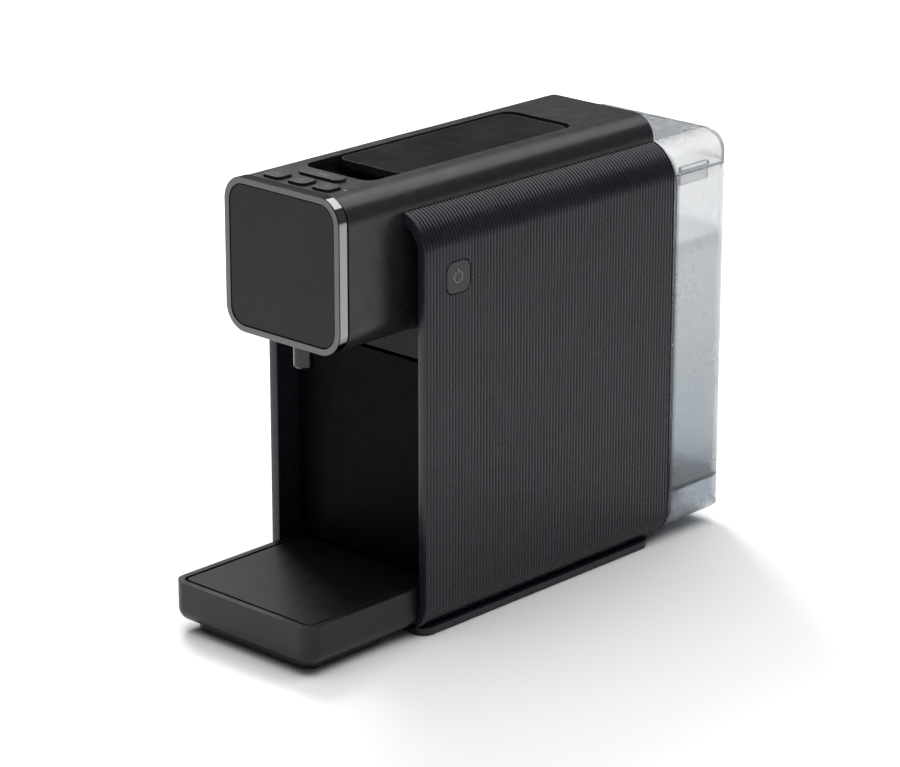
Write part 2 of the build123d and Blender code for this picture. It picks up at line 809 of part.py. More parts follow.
with BuildPart() as heater_block:
    with BuildSketch(Plane.XY.offset(deck_high + 5)):
        with Locations((0, 59)):
            RectangleRounded(60, 70, 6)
    extrude(amount=28)
    fillet(heater_block.edges().group_by(Axis.Z)[-1], 4)
    with BuildSketch(across(20)):
        with Locations((tube_x, 170), (12, 174)):
            Circle(3.4)
    extrude(amount=-6)
    with BuildSketch(Plane.XY.offset(deck_high)):
        with Locations((-24, 30), (24, 30), (-24, 88), (24, 88)):
            Circle(3.5)
    extrude(amount=6)
save(heater_block, "heater_block")

with BuildPart() as flow_meter:
    with BuildSketch(across(82)):
        with Locations((valve_x, 80)):
            Circle(14)
    extrude(amount=-16)
    with Locations((valve_x, 91, 60)):
        Cylinder(3, 12, align=(Align.CENTER, Align.CENTER, Align.MIN))
    with Locations((9, 91, 80)):
        Cylinder(3, 10, rotation=(0, 90, 0))
save(flow_meter, "flow_meter")

with BuildPart() as power_board:
    with BuildSketch(Plane.YZ.offset(42)):
        with Locations((44, 76)):
            Rectangle(62, 108)
    extrude(amount=1.6)
    with BuildSketch(Plane.YZ.offset(30)):
        with Locations((32, 100)):
            Rectangle(20, 24)
        with Locations((58, 104)):
            Circle(8)
        with Locations((44, 50)):
            Rectangle(34, 26)
    extrude(amount=12)
save(power_board, "power_board")


def build_tube(name, route, radii, outer, bore):
    """A hose of one outer and one inner radius along a route of straight runs joined by arcs."""
    with BuildPart() as tube:
        with BuildLine() as path:
            FilletPolyline(*route, radius=radii)
        start = path.line @ 0
        with BuildSketch(Plane(origin=start, z_dir=path.line % 0)):
            Circle(outer)
            Circle(bore, mode=Mode.SUBTRACT)
        sweep(path=path.line)
    save(tube, name)


build_tube(
    "suction_tube",
    [(valve_x, 104.9, 18), (valve_x, 91, 18), (valve_x, 91, 60)],
    8,
    3.0,
    1.8,
)
build_tube("pump_tube", [(4, 91, 80), (tube_x, 91, 80), (tube_x, 91, 70)], 6, 3.0, 1.8)
build_tube(
    "pressure_tube",
    [(tube_x, 18, pump_z), (tube_x, tube_y, pump_z), (tube_x, tube_y, 170), (tube_x, 20, 170)],
    6,
    2.0,
    1.0,
)
build_tube(
    "hot_water_tube",
    [(12, 20, 174), (12, 9, 174), (12, 9, 200), (12, pod_back + 18.5, 200)],
    5,
    2.0,
    1.0,
)

# ---------------------------------------------------------------- drip tray, cup plate, pod container
with BuildPart() as drip_tray:
    with BuildSketch(Plane.XY.offset(tray_bottom)) as tray_plan:
        with Locations((0, (tray_front + tray_shoulder) / 2)):
            Rectangle(2 * tray_half, tray_shoulder - tray_front)
        fillet(tray_plan.vertices().group_by(Axis.Y)[0], tray_radius)
    extrude(amount=tray_top - tray_bottom)
    low_edges = drip_tray.edges().group_by(Axis.Z)[0]
    fillet(low_edges.sort_by(Axis.Y)[:-1], tray_edge_radius)
    with BuildSketch(across(tray_shoulder)) as drawer_end:
        with Locations((0, (drawer_bottom + tray_top) / 2)):
            Rectangle(2 * drawer_half, tray_top - drawer_bottom)
        fillet(drawer_end.vertices().group_by(Axis.Y)[0], drawer_edge_radius)
    extrude(amount=-(tray_back - tray_shoulder))
    with BuildSketch(Plane.XY.offset(22.5)):
        with Locations((0, (tray_front + tray_back) / 2)):
            RectangleRounded(
                2 * (tray_half - rim_width),
                tray_back - tray_front - 2 * rim_width,
                tray_radius - rim_width,
            )
    extrude(amount=10, mode=Mode.SUBTRACT)
    with BuildSketch(Plane.XY.offset(9)):
        with Locations((0, (tray_front + tray_back) / 2)):
            RectangleRounded(88, tray_back - tray_front - 16, 8)
    extrude(amount=14, mode=Mode.SUBTRACT)
save(drip_tray, "drip_tray")

plate_half_width = tray_half - rim_width - groove_width
plate_front = tray_front + rim_width + groove_width

with BuildPart() as cup_plate:
    with BuildSketch(Plane.XY.offset(tray_top - 2.6)) as plate_plan:
        with Locations((0, (plate_front + cup_plate_back) / 2)):
            Rectangle(2 * plate_half_width, cup_plate_back - plate_front)
        fillet(plate_plan.vertices().group_by(Axis.Y)[0], tray_radius - rim_width - groove_width)
    extrude(amount=2.6)
    chamfer(cup_plate.edges().group_by(Axis.Z)[-1], 0.4)
    plate_depth = cup_plate_back - plate_front
    with BuildSketch(Plane.XY.offset(22.8)):
        with Locations((0, (plate_front + cup_plate_back) / 2)):
            RectangleRounded(2 * plate_half_width - 1, plate_depth - 1, 8)
            RectangleRounded(2 * plate_half_width - 5, plate_depth - 5, 6, mode=Mode.SUBTRACT)
    extrude(amount=3)
save(cup_plate, "cup_plate")

with BuildPart() as pod_container:
    container_top = column_split - split_gap / 2
    with BuildSketch(across(column_front)):
        with Locations((0, (container_bottom + container_top) / 2)):
            Rectangle(2 * (panel_inner - 0.8), container_top - container_bottom)
    extrude(amount=-front_skin)
    with BuildSketch(Plane.XY.offset(container_bottom + 1)):
        with Locations((0, -36)):
            RectangleRounded(92, 64, 6)
    extrude(amount=110)
    with BuildSketch(Plane.XY.offset(container_bottom + 3)):
        with Locations((0, -36)):
            RectangleRounded(88, 60, 4)
    extrude(amount=110, mode=Mode.SUBTRACT)
save(pod_container, "pod_container")

# ---------------------------------------------------------------- water tank, lid, valve and dock
tank_mid_y = (tank_front + tank_back) / 2


def draw_tank_outline(inset, low):
    """The tank seen from behind, shrunk by inset, from low up to the flat top."""
    half = half_width - inset
    radius = shoulder_radius - inset
    with BuildSketch(mode=Mode.PRIVATE) as outline:
        with Locations((0, (low + tank_top - inset) / 2)):
            Rectangle(2 * half, tank_top - inset - low)
        fillet(outline.vertices().group_by(Axis.Y)[0], tank_edge_radius - inset)
        fillet(outline.vertices().group_by(Axis.Y)[-1], radius)
    add(outline.sketch)


def draw_tank_plan(inset, corner):
    """The tank seen from above, with its two back corners rounded."""
    with BuildSketch(mode=Mode.PRIVATE) as plan:
        with Locations((0, tank_mid_y)):
            Rectangle(2 * (half_width - inset), tank_back - tank_front - 2 * inset)
        fillet(plan.vertices().group_by(Axis.Y)[-1], corner)
    add(plan.sketch)


def draw_tank_side(inset, low):
    """The tank seen from the side, with its low back corner rounded."""
    with BuildSketch(mode=Mode.PRIVATE) as side_view:
        with Locations((tank_mid_y, (low + tank_top) / 2)):
            Rectangle(tank_back - tank_front - 2 * inset, tank_top - low)
        low_back = side_view.vertices().group_by(Axis.Y)[0].sort_by(Axis.X)[-1]
        fillet(low_back, tank_edge_radius - inset)
    add(side_view.sketch)


def tank_body(inset, low, corner):
    """A closed block of the tank's shape, shrunk by inset."""
    with BuildPart(mode=Mode.PRIVATE) as block:
        with BuildSketch(across(tank_front + inset)):
            draw_tank_outline(inset, low)
        extrude(amount=-(tank_back - tank_front - 2 * inset))
        with BuildSketch(Plane.XY):
            draw_tank_plan(inset, corner)
        extrude(amount=tank_top, mode=Mode.INTERSECT)
        with BuildSketch(Plane.YZ.offset(-half_width)):
            draw_tank_side(inset, low)
        extrude(amount=2 * half_width, mode=Mode.INTERSECT)
    return block.part


tank_block = tank_body(0, tank_bottom, tank_corner_radius)
tank_hollow = tank_body(tank_wall, tank_bottom + tank_wall, tank_corner_radius - tank_wall)

with BuildPart() as water_tank:
    add(tank_block)
    with BuildPart(mode=Mode.PRIVATE) as water_space:
        add(tank_hollow)
        with Locations((0, tank_mid_y, tank_floor)):
            Box(200, 200, 300, align=(Align.CENTER, Align.CENTER, Align.MIN), mode=Mode.INTERSECT)
    add(water_space.part, mode=Mode.SUBTRACT)
    with BuildPart(mode=Mode.PRIVATE) as skirt_space:
        add(tank_hollow)
        with Locations((0, tank_mid_y, tank_floor - tank_wall)):
            Box(200, 200, 300, align=(Align.CENTER, Align.CENTER, Align.MAX), mode=Mode.INTERSECT)
    add(skirt_space.part, mode=Mode.SUBTRACT)
    with Locations((0, tank_front, tank_floor - tank_wall)):
        Box(84, 72, 60, align=(Align.CENTER, Align.CENTER, Align.MAX), mode=Mode.SUBTRACT)
    with Locations((cord_x, tank_back - 8, 0)):
        Box(14, 30, 15, align=(Align.CENTER, Align.CENTER, Align.MIN), mode=Mode.SUBTRACT)
    with Locations((0, tank_mid_y, tank_split)):
        Box(200, 200, 60, align=(Align.CENTER, Align.CENTER, Align.MIN), mode=Mode.SUBTRACT)
    with Locations((valve_x, valve_y, tank_floor)):
        Cylinder(3.5, 12, mode=Mode.SUBTRACT)
save(water_tank, "water_tank")

lug_y = 136.0
lug_length = 24.0

with BuildPart() as tank_lid:
    add(tank_block)
    add(tank_hollow, mode=Mode.SUBTRACT)
    with Locations((0, tank_mid_y, tank_split + 0.3)):
        Box(200, 200, 300, align=(Align.CENTER, Align.CENTER, Align.MAX), mode=Mode.SUBTRACT)
    for side in (-1, 1):
        with BuildSketch(Plane.YZ.offset(side * 53)):
            with Locations((lug_y, 214)):
                Rectangle(lug_length, 10)
        extrude(amount=side * 1.6)
        with BuildSketch(Plane.YZ.offset(side * 53)):
            with Locations((lug_y, 218)):
                Rectangle(lug_length, 2)
        extrude(amount=side * 4.2)
save(tank_lid, "tank_lid")

with BuildPart() as tank_valve:
    with Locations((valve_x, valve_y, tank_floor + 0.4)):
        Cylinder(6, 2, align=(Align.CENTER, Align.CENTER, Align.MIN))
    with Locations((valve_x, valve_y, tank_floor - 4.2)):
        Cylinder(2, 12, align=(Align.CENTER, Align.CENTER, Align.MIN))
save(tank_valve, "tank_valve")

with BuildPart() as valve_cage:
    with BuildSketch(Plane.XY.offset(tank_floor)):
        with Locations((valve_x, valve_y)):
            Circle(9)
            Circle(7, mode=Mode.SUBTRACT)
            Rectangle(30, 6, mode=Mode.SUBTRACT)
            Rectangle(6, 30, mode=Mode.SUBTRACT)
    extrude(amount=12)
    with BuildSketch(Plane.XY.offset(tank_floor + 12)):
        with Locations((valve_x, valve_y)):
            Circle(9)
            Circle(2.6, mode=Mode.SUBTRACT)
    extrude(amount=1.6)
save(valve_cage, "valve_cage")

with BuildPart() as tank_dock:
    with BuildSketch(Plane.XY.offset(12)):
        with Locations((0, 132)):
            Rectangle(76, 34)
    extrude(amount=13)
    with Locations((valve_x, valve_y, 22)):
        Cylinder(9, 20, align=(Align.CENTER, Align.CENTER, Align.MIN), mode=Mode.SUBTRACT)
    with Locations((valve_x, valve_y, 22)):
        Cylinder(1.4, 4, align=(Align.CENTER, Align.CENTER, Align.MIN))
    with Locations((valve_x, 115, 18)):
        Cylinder(2.9, 20, rotation=(90, 0, 0), align=(Align.CENTER, Align.CENTER, Align.CENTER))
    with Locations((cord_x, 130, 10)):
        Box(16, 60, 8, align=(Align.CENTER, Align.CENTER, Align.MIN), mode=Mode.SUBTRACT)
save(tank_dock, "tank_dock")

with BuildPart() as dock_seal:
    with BuildSketch(Plane.XY.offset(22)):
        with Locations((valve_x, valve_y)):
            Circle(8.8)
            Circle(5.5, mode=Mode.SUBTRACT)
    extrude(amount=6.3)
save(dock_seal, "dock_seal")
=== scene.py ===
"""Looks of the pod coffee machine around its fixed CAD frame: materials, ribbed side panels and small marks.

Lengths are in metres, in the CAD frame: +Z up, the front faces -Y, +X to the right seen from the front.
"""
import math

import bpy
import numpy as np
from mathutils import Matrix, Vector


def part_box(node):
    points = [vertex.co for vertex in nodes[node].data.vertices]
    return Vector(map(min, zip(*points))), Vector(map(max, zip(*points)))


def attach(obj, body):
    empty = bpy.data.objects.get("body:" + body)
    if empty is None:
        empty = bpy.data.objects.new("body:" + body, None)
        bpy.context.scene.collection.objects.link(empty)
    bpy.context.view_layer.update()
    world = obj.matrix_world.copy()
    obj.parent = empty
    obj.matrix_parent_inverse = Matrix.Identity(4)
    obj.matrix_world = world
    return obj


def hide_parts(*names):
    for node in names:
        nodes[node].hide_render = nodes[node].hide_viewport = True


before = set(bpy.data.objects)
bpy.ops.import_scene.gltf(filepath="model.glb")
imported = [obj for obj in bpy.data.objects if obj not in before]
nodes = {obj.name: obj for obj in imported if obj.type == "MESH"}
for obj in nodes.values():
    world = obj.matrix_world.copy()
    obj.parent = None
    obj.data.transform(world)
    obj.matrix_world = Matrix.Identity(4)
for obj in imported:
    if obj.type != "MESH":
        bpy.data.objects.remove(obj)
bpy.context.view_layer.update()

MM = 0.001


# ---------------------------------------------------------------- node helpers
class Graph:
    """A short way to add nodes to one material and join them."""

    def __init__(self, name):
        self.material = bpy.data.materials.new(name)
        self.material.use_nodes = True
        self.tree = self.material.node_tree
        self.tree.nodes.clear()
        self.output = self.tree.nodes.new("ShaderNodeOutputMaterial")
        self.place = self.add("ShaderNodeTexCoord").outputs["Object"]

    def add(self, kind, **settings):
        """One node of a kind, with its settings."""
        node = self.tree.nodes.new(kind)
        for key, value in settings.items():
            setattr(node, key, value)
        return node

    def join(self, source, target):
        """Joins an output socket to an input socket."""
        self.tree.links.new(source, target)

    def noise(self, scale, detail=2.0, rough=0.5, stretch=None):
        """Noise over the part's own frame, drawn out along an axis where stretch is given."""
        node = self.add("ShaderNodeTexNoise")
        node.inputs["Scale"].default_value = scale
        node.inputs["Detail"].default_value = detail
        node.inputs["Roughness"].default_value = rough
        if stretch is None:
            self.join(self.place, node.inputs["Vector"])
        else:
            mapping = self.add("ShaderNodeMapping")
            mapping.inputs["Scale"].default_value = stretch
            self.join(self.place, mapping.inputs["Vector"])
            self.join(mapping.outputs["Vector"], node.inputs["Vector"])
        return node.outputs["Fac"]

    def remap(self, value, low, high, source=(0.3, 0.7)):
        """Carries the source range over to low and high, and holds it inside them."""
        node = self.add("ShaderNodeMapRange")
        node.inputs["From Min"].default_value = source[0]
        node.inputs["From Max"].default_value = source[1]
        node.inputs["To Min"].default_value = low
        node.inputs["To Max"].default_value = high
        self.join(value, node.inputs["Value"])
        return node.outputs["Result"]

    def axis(self, name):
        """One coordinate of the part's own frame, in metres."""
        split = self.add("ShaderNodeSeparateXYZ")
        self.join(self.place, split.inputs["Vector"])
        return split.outputs[name]

    def math(self, operation, first, second=0.0):
        """One sum of two sockets, or of a socket and a number."""
        node = self.add("ShaderNodeMath", operation=operation)
        for socket, value in zip(node.inputs, (first, second)):
            if isinstance(value, float):
                socket.default_value = value
            else:
                self.join(value, socket)
        return node.outputs["Value"]

    def near(self, value, centre, half, soft=0.2 * MM):
        """1 within half of the centre and 0 away from it."""
        away = self.math("ABSOLUTE", self.math("SUBTRACT", value, centre))
        return self.remap(away, 1.0, 0.0, source=(half, half + soft))

    def blend(self, factor, under, over):
        """One colour socket laid over another colour socket or colour."""
        node = self.add("ShaderNodeMix", data_type="RGBA")
        first, second = [socket for socket in node.inputs if socket.type == "RGBA"]
        self.join(under, first)
        second.default_value = (*over, 1)
        self.join(factor, node.inputs["Factor"])
        return next(socket for socket in node.outputs if socket.type == "RGBA")

    def mix(self, factor, dark, light):
        """A colour between dark and light."""
        node = self.add("ShaderNodeMix", data_type="RGBA")
        first, second = [socket for socket in node.inputs if socket.type == "RGBA"]
        first.default_value = (*dark, 1)
        second.default_value = (*light, 1)
        self.join(factor, node.inputs["Factor"])
        return next(socket for socket in node.outputs if socket.type == "RGBA")

    def bump(self, height, strength, distance, normal=None):
        """A normal with relief from a height socket."""
        node = self.add("ShaderNodeBump")
        node.inputs["Strength"].default_value = strength
        node.inputs["Distance"].default_value = distance
        self.join(height, node.inputs["Height"])
        if normal is not None:
            self.join(normal, node.inputs["Normal"])
        return node.outputs["Normal"]

    def soft_edges(self, radius):
        """A normal that rounds sharp edges a little."""
        node = self.add("ShaderNodeBevel", samples=4)
        node.inputs["Radius"].default_value = radius
        return node.outputs["Normal"]

    def shader(self, **values):
        """The surface shader, with values that are the same all over."""
        node = self.add("ShaderNodeBsdfPrincipled")
        for key, value in values.items():
            node.inputs[key].default_value = value
        self.join(node.outputs["BSDF"], self.output.inputs["Surface"])
        return node


def shade(colour, factor):
    """A colour made lighter or darker."""
    return tuple(min(1.0, c * factor) for c in colour)


def moulded(name, colour, rough, grain=1500.0, depth=0.03, spread=0.12, edge=0.35, gloss=0.35, **more):
    """Moulded plastic: slight mottling, a fine spark-eroded grain and softened edges."""
    g = Graph(name)
    bsdf = g.shader(**{"Specular IOR Level": gloss}, **more)
    cloud = g.noise(38.0, detail=4.0)
    g.join(g.mix(g.remap(cloud, 0, 1), shade(colour, 1 - spread), shade(colour, 1 + spread)),
           bsdf.inputs["Base Color"])
    patches = g.noise(120.0, detail=3.0)
    g.join(g.remap(patches, rough - 0.04, rough + 0.05), bsdf.inputs["Roughness"])
    fine = g.noise(grain, detail=3.0, rough=0.65)
    normal = g.bump(fine, 0.5, depth * MM, g.soft_edges(edge * MM))
    g.join(normal, bsdf.inputs["Normal"])
    return g.material


def metal(name, colour, rough, brushed=None, edge=0.3):
    """Metal with fine streaks along one axis, or cast grain where brushed is None."""
    g = Graph(name)
    bsdf = g.shader(Metallic=1.0)
    if brushed is None:
        streak = g.noise(900.0, detail=4.0)
    else:
        stretch = [1.0, 1.0, 1.0]
        stretch[brushed] = 0.03
        streak = g.noise(2600.0, detail=3.0, stretch=stretch)
    g.join(g.mix(g.remap(streak, 0, 1), shade(colour, 0.86), shade(colour, 1.1)), bsdf.inputs["Base Color"])
    g.join(g.remap(streak, rough - 0.05, rough + 0.07), bsdf.inputs["Roughness"])
    g.join(g.bump(streak, 0.25, 0.01 * MM, g.soft_edges(edge * MM)), bsdf.inputs["Normal"])
    return g.material


def polished_ring(name, face, band, split_y):
    """Satin metal on the face and polished metal on the sides, with a thin dark line where they meet."""
    g = Graph(name)
    bsdf = g.shader(Metallic=1.0)
    y = g.axis("Y")
    on_side = g.remap(y, 0.0, 1.0, source=(split_y - 0.05 * MM, split_y + 0.05 * MM))
    streak = g.noise(2200.0, detail=3.0)
    colour = g.mix(on_side, face, band)
    line = g.near(y, split_y, 0.18 * MM, 0.12 * MM)
    g.join(g.blend(line, colour, (0.015, 0.015, 0.016)), bsdf.inputs["Base Color"])
    satin = g.remap(streak, 0.30, 0.38)
    polish = g.remap(on_side, 1.0, 0.22, source=(0.0, 1.0))
    g.join(g.math("MULTIPLY", satin, polish), bsdf.inputs["Roughness"])
    g.join(g.bump(streak, 0.2, 0.006 * MM, g.soft_edges(0.25 * MM)), bsdf.inputs["Normal"])
    return g.material


# Slate for the tank's dark seam lines and for painted shade in the lid's creases and along the front wall's
# edge.
SLATE = (0.10, 0.135, 0.16)
# Painted shade: the lid's flat top is greyer than its sides.
LID_TOP_PAINTED_SHADE = (0.42, 0.45, 0.475)
# Painted light and shade on the tank, by height: darker near the bottom, a dark band just under the water
# line where the water shows through the wall, and lighter towards the top.
TANK_PAINTED_SHADING = [
    (0.000, (0.588, 0.63, 0.683)), (0.028, (0.567, 0.609, 0.662)), (0.033, (0.462, 0.504, 0.546)),
    (0.060, (0.609, 0.646, 0.672)), (0.165, (0.704, 0.724, 0.745)), (0.174, (0.63, 0.651, 0.683)),
    (0.180, (0.882, 0.892, 0.903)), (0.240, (0.903, 0.908, 0.913)),
]
LID_FLAT_HALF = 36.5 * MM
LID_FLAT_Z = 231.2 * MM
LID_CREASE = (37.2 * MM, 232.3 * MM)
LID_SEAM_Z = 216.35 * MM
LUG_PLACE = (136.0 * MM, 211.8 * MM)
LUG_HALF = 12.0 * MM
TANK_FRONT_Y = 116.4 * MM
TANK_RIM_Y = 118.6 * MM
TANK_FLOOR_Z = 30.8 * MM


def height_painted_shading(g, z, painted_shading_steps):
    """A colour that follows the height, from (height, colour) pairs."""
    lowest, highest = painted_shading_steps[0][0], painted_shading_steps[-1][0]
    ramp = g.add("ShaderNodeValToRGB")
    ramp.color_ramp.interpolation = "EASE"
    while len(ramp.color_ramp.elements) < len(painted_shading_steps):
        ramp.color_ramp.elements.new(0.5)
    for element, (height, colour) in zip(ramp.color_ramp.elements, painted_shading_steps):
        element.position = (height - lowest) / (highest - lowest)
        element.color = (*colour, 1)
    g.join(g.remap(z, 0.0, 1.0, source=(lowest, highest)), ramp.inputs["Fac"])
    return ramp.outputs["Color"]


def seams_and_painted_shade(g, side, y, z):
    """How strongly the slate colour shows: painted shade in the lid's creases and along the front wall's edge
    (front rim and rim line), and dark lines at the lid seam, the floor seam and the lug ends.
    """
    crease = g.math("MULTIPLY", g.near(side, LID_CREASE[0], 0.35 * MM, 0.3 * MM),
                    g.near(z, LID_CREASE[1], 0.9 * MM))
    front_rim = g.near(y, TANK_FRONT_Y, 1.5 * MM, 0.5 * MM)
    rim_line = g.near(y, TANK_RIM_Y, 0.25 * MM, 0.25 * MM)
    lid_seam = g.near(z, LID_SEAM_Z, 0.30 * MM, 0.25 * MM)
    from_lug = g.math("ABSOLUTE", g.math("SUBTRACT", y, LUG_PLACE[0]))
    lug_ends = g.math("MULTIPLY", g.near(z, LUG_PLACE[1], 3.2 * MM),
                      g.near(from_lug, LUG_HALF, 0.16 * MM, 0.12 * MM))
    floor_seam = g.near(z, TANK_FLOOR_Z, 0.9 * MM, 0.4 * MM)
    total = g.math("MULTIPLY", crease, 0.7)
    for mask, strength in (
        (front_rim, 0.5), (rim_line, 0.75), (lid_seam, 0.85), (lug_ends, 0.4), (floor_seam, 0.7),
    ):
        total = g.math("MAXIMUM", total, g.math("MULTIPLY", mask, strength))
    return total


def frosted(name, painted_shading_steps, rough, through):
    """Frosted clear plastic with painted light and shade that follow the height, painted shade on the greyer
    flat top, and slate for the seam lines and for painted shade at the creases and the front wall's edge.
    """
    g = Graph(name)
    bsdf = g.shader(**{"IOR": 1.35, "Transmission Weight": through})
    x, y, z = g.axis("X"), g.axis("Y"), g.axis("Z")
    side = g.math("ABSOLUTE", x)
    above = g.remap(z, 0.0, 1.0, source=(LID_FLAT_Z, LID_FLAT_Z + 0.6 * MM))
    within = g.remap(side, 1.0, 0.0, source=(LID_FLAT_HALF, LID_FLAT_HALF + 1.3 * MM))
    # Painted shade on the lid's flat top, laid over the painted light and shade by height.
    painted_shading = g.blend(g.math("MULTIPLY", above, within), height_painted_shading(g, z, painted_shading_steps), LID_TOP_PAINTED_SHADE)
    g.join(g.blend(seams_and_painted_shade(g, side, y, z), painted_shading, SLATE), bsdf.inputs["Base Color"])
    g.join(g.remap(g.noise(45.0), rough - 0.03, rough + 0.03), bsdf.inputs["Roughness"])
    return g.material


def circuit(name, colour):
    """Lacquered board with faint copper runs under the lacquer."""
    g = Graph(name)
    bsdf = g.shader(**{"Coat Weight": 0.4})
    brick = g.add("ShaderNodeTexBrick")
    brick.inputs["Scale"].default_value = 260.0
    brick.inputs["Color1"].default_value = (*colour, 1)
    brick.inputs["Color2"].default_value = (*shade(colour, 1.5), 1)
    brick.inputs["Mortar"].default_value = (*shade(colour, 0.6), 1)
    g.join(g.place, brick.inputs["Vector"])
    g.join(brick.outputs["Color"], bsdf.inputs["Base Color"])
    g.join(g.remap(g.noise(400.0), 0.3, 0.5), bsdf.inputs["Roughness"])
    return g.material


# ---------------------------------------------------------------- the materials
violet_charcoal = moulded("ribbed_charcoal", (0.0165, 0.0148, 0.0225), 0.26, grain=1800.0, depth=0.006,
                          gloss=0.38)
shell_charcoal = moulded("shell_charcoal", (0.0175, 0.0168, 0.0200), 0.30, grain=1600.0, depth=0.006,
                         gloss=0.38)
plate_grey = moulded("front_plate_grey", (0.0165, 0.0158, 0.0190), 0.40, grain=2200.0, depth=0.012,
                     gloss=0.23)
matt_black = moulded("matt_black", (0.009, 0.009, 0.009), 0.45, grain=1300.0, depth=0.03, gloss=0.2)
# Pod container front: black, made darker still and nearly without gloss as painted shade under the head.
black_with_painted_shade = moulded("column_black_painted_shade", (0.003, 0.003, 0.003), 0.50, grain=1300.0, depth=0.03, gloss=0.05)
cup_black = moulded("cup_plate_black", (0.004, 0.004, 0.004), 0.42, grain=1500.0, depth=0.02, gloss=0.22)
tray_black = moulded("tray_black", (0.008, 0.008, 0.0084), 0.34, grain=1700.0, depth=0.015)
pad_black = moulded("lever_pad_grain", (0.0075, 0.0075, 0.0075), 0.75, grain=620.0, depth=0.32, spread=0.6,
                    gloss=0.05)
key_black = moulded("key_caps", (0.019, 0.019, 0.020), 0.36, grain=2400.0, depth=0.01, edge=0.5)
rubber = moulded("rubber", (0.014, 0.014, 0.014), 0.75, grain=900.0, depth=0.05)
inner_grey = moulded("inner_grey", (0.26, 0.26, 0.27), 0.45, grain=1200.0, depth=0.03)
hose = moulded("silicone_hose", (0.62, 0.62, 0.60), 0.35, grain=700.0, depth=0.02,
               **{"Subsurface Weight": 0.3, "Subsurface Scale": 0.002})
# Pale grey lenses whose colour is partly painted glint, for the bright spots beside the keys.
lens = moulded("indicator_lens", (0.20, 0.20, 0.20), 0.25, grain=1500.0, depth=0.01)
mark = moulded("pale_marks", (0.30, 0.30, 0.31), 0.45, grain=3000.0, depth=0.005)
ring_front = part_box("front_bezel")[0].y
dark_chrome = polished_ring("dark_chrome", (0.15, 0.148, 0.155), (0.27, 0.265, 0.275),
                            ring_front + 0.40 * MM)
nozzle_chrome = metal("nozzle_metal", (0.05, 0.05, 0.052), 0.25)
steel = metal("brushed_steel", (0.60, 0.60, 0.61), 0.30, brushed=0)
cast = metal("cast_aluminium", (0.52, 0.52, 0.53), 0.48)
board = circuit("board_green", (0.03, 0.12, 0.06))
tank_plastic = frosted("frosted_tank", TANK_PAINTED_SHADING, 0.26, 0.85)

FINISH = {
    "base_plate": violet_charcoal, "rubber_feet": rubber, "case_screws": steel, "cable_grommet": matt_black,
    "upper_shell": shell_charcoal, "front_bezel": dark_chrome, "front_plate": plate_grey,
    "column_cover": matt_black, "rear_cover": shell_charcoal, "coffee_nozzle": nozzle_chrome,
    "key_small_left": key_black, "key_small_middle": key_black, "key_small_right": key_black,
    "key_long": key_black, "control_board": board, "key_switches": matt_black, "indicator_lenses": lens,
    "power_button": violet_charcoal, "power_switch": matt_black, "lever_well": matt_black,
    "lever_hinge_pin": steel, "lever_frame": shell_charcoal, "lever_pad": pad_black, "crank_pin": steel,
    "left_link": inner_grey, "right_link": inner_grey, "carriage_pin": steel, "brew_carriage": inner_grey,
    "inlet_needle_plate": steel, "outlet_needle_plate": steel, "brew_housing": inner_grey,
    "coffee_duct": matt_black, "chassis": inner_grey, "pump": matt_black, "pump_mounts": rubber,
    "heater_block": cast, "flow_meter": inner_grey, "power_board": board, "suction_tube": hose,
    "pump_tube": hose, "pressure_tube": hose, "hot_water_tube": hose, "drip_tray": tray_black,
    "cup_plate": cup_black, "pod_container": black_with_painted_shade, "water_tank": tank_plastic, "tank_lid": tank_plastic,
    "tank_valve": matt_black, "valve_cage": tank_plastic, "tank_dock": matt_black, "dock_seal": rubber,
    "left_side_panel": violet_charcoal, "right_side_panel": violet_charcoal,
}


def set_finish(obj, material):
    """Gives an object one material and smooth curved faces with crisp edges."""
    obj.data.materials.clear()
    obj.data.materials.append(material)
    obj.data.shade_smooth()
    obj.data.set_sharp_from_angle(angle=math.radians(34))


for node_name, finish in FINISH.items():
    set_finish(nodes[node_name], finish)


def new_piece(name, points, faces, material, body, replaced=()):
    """A mesh piece that rides on a CAD body."""
    mesh = bpy.data.meshes.new(name)
    mesh.from_pydata([tuple(p) for p in points], [], [tuple(f) for f in faces])
    mesh.validate()
    mesh.update()
    piece = bpy.data.objects.new(name, mesh)
    bpy.context.scene.collection.objects.link(piece)
    set_finish(piece, material)
    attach(piece, body)
    if replaced:
        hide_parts(*replaced)
    return piece


# ---------------------------------------------------------------- ribbed side panels
PANEL = {
    "thickness": 6.0 * MM, "top_radius": 22.0 * MM, "low_radius": 20.0 * MM, "top_z": 213.4 * MM,
    "low_z": 20.0 * MM, "edge_x": 43.5 * MM, "end_z": 4.6 * MM,
}
RIB_COUNT = 82
RIB_DEPTH = 1.2 * MM
RIB_STEPS = 8
EDGE_STEP = 0.2 * MM
EDGE_ROUND = 0.7 * MM
EDGE_BAND = 1.1 * MM


def panel_section(outer_x):
    """Outer points, outward directions and the share of rib depth along the panel's bent section."""
    r_top, r_low = PANEL["top_radius"], PANEL["low_radius"]
    top_x, low_x = outer_x - r_top, outer_x - r_low
    top_end = math.acos((PANEL["edge_x"] - top_x) / r_top)
    low_end = math.asin((PANEL["low_z"] - PANEL["end_z"]) / r_low)
    points, outward, share = [], [], []
    for angle in np.linspace(top_end, 0, 22):
        outward.append((math.cos(angle), math.sin(angle)))
        points.append((top_x + r_top * outward[-1][0], PANEL["top_z"] + r_top * outward[-1][1]))
        share.append(1.0)
    for z in np.linspace(PANEL["top_z"], PANEL["low_z"], 14)[1:-1]:
        outward.append((1.0, 0.0))
        points.append((outer_x, z))
        share.append(1.0)
    for angle in np.linspace(0, low_end, 18):
        outward.append((math.cos(angle), -math.sin(angle)))
        points.append((low_x + r_low * outward[-1][0], PANEL["low_z"] + r_low * outward[-1][1]))
        share.append(min(1.0, (low_end - angle) / 0.22))
    return np.array(points), np.array(outward), np.array(share)


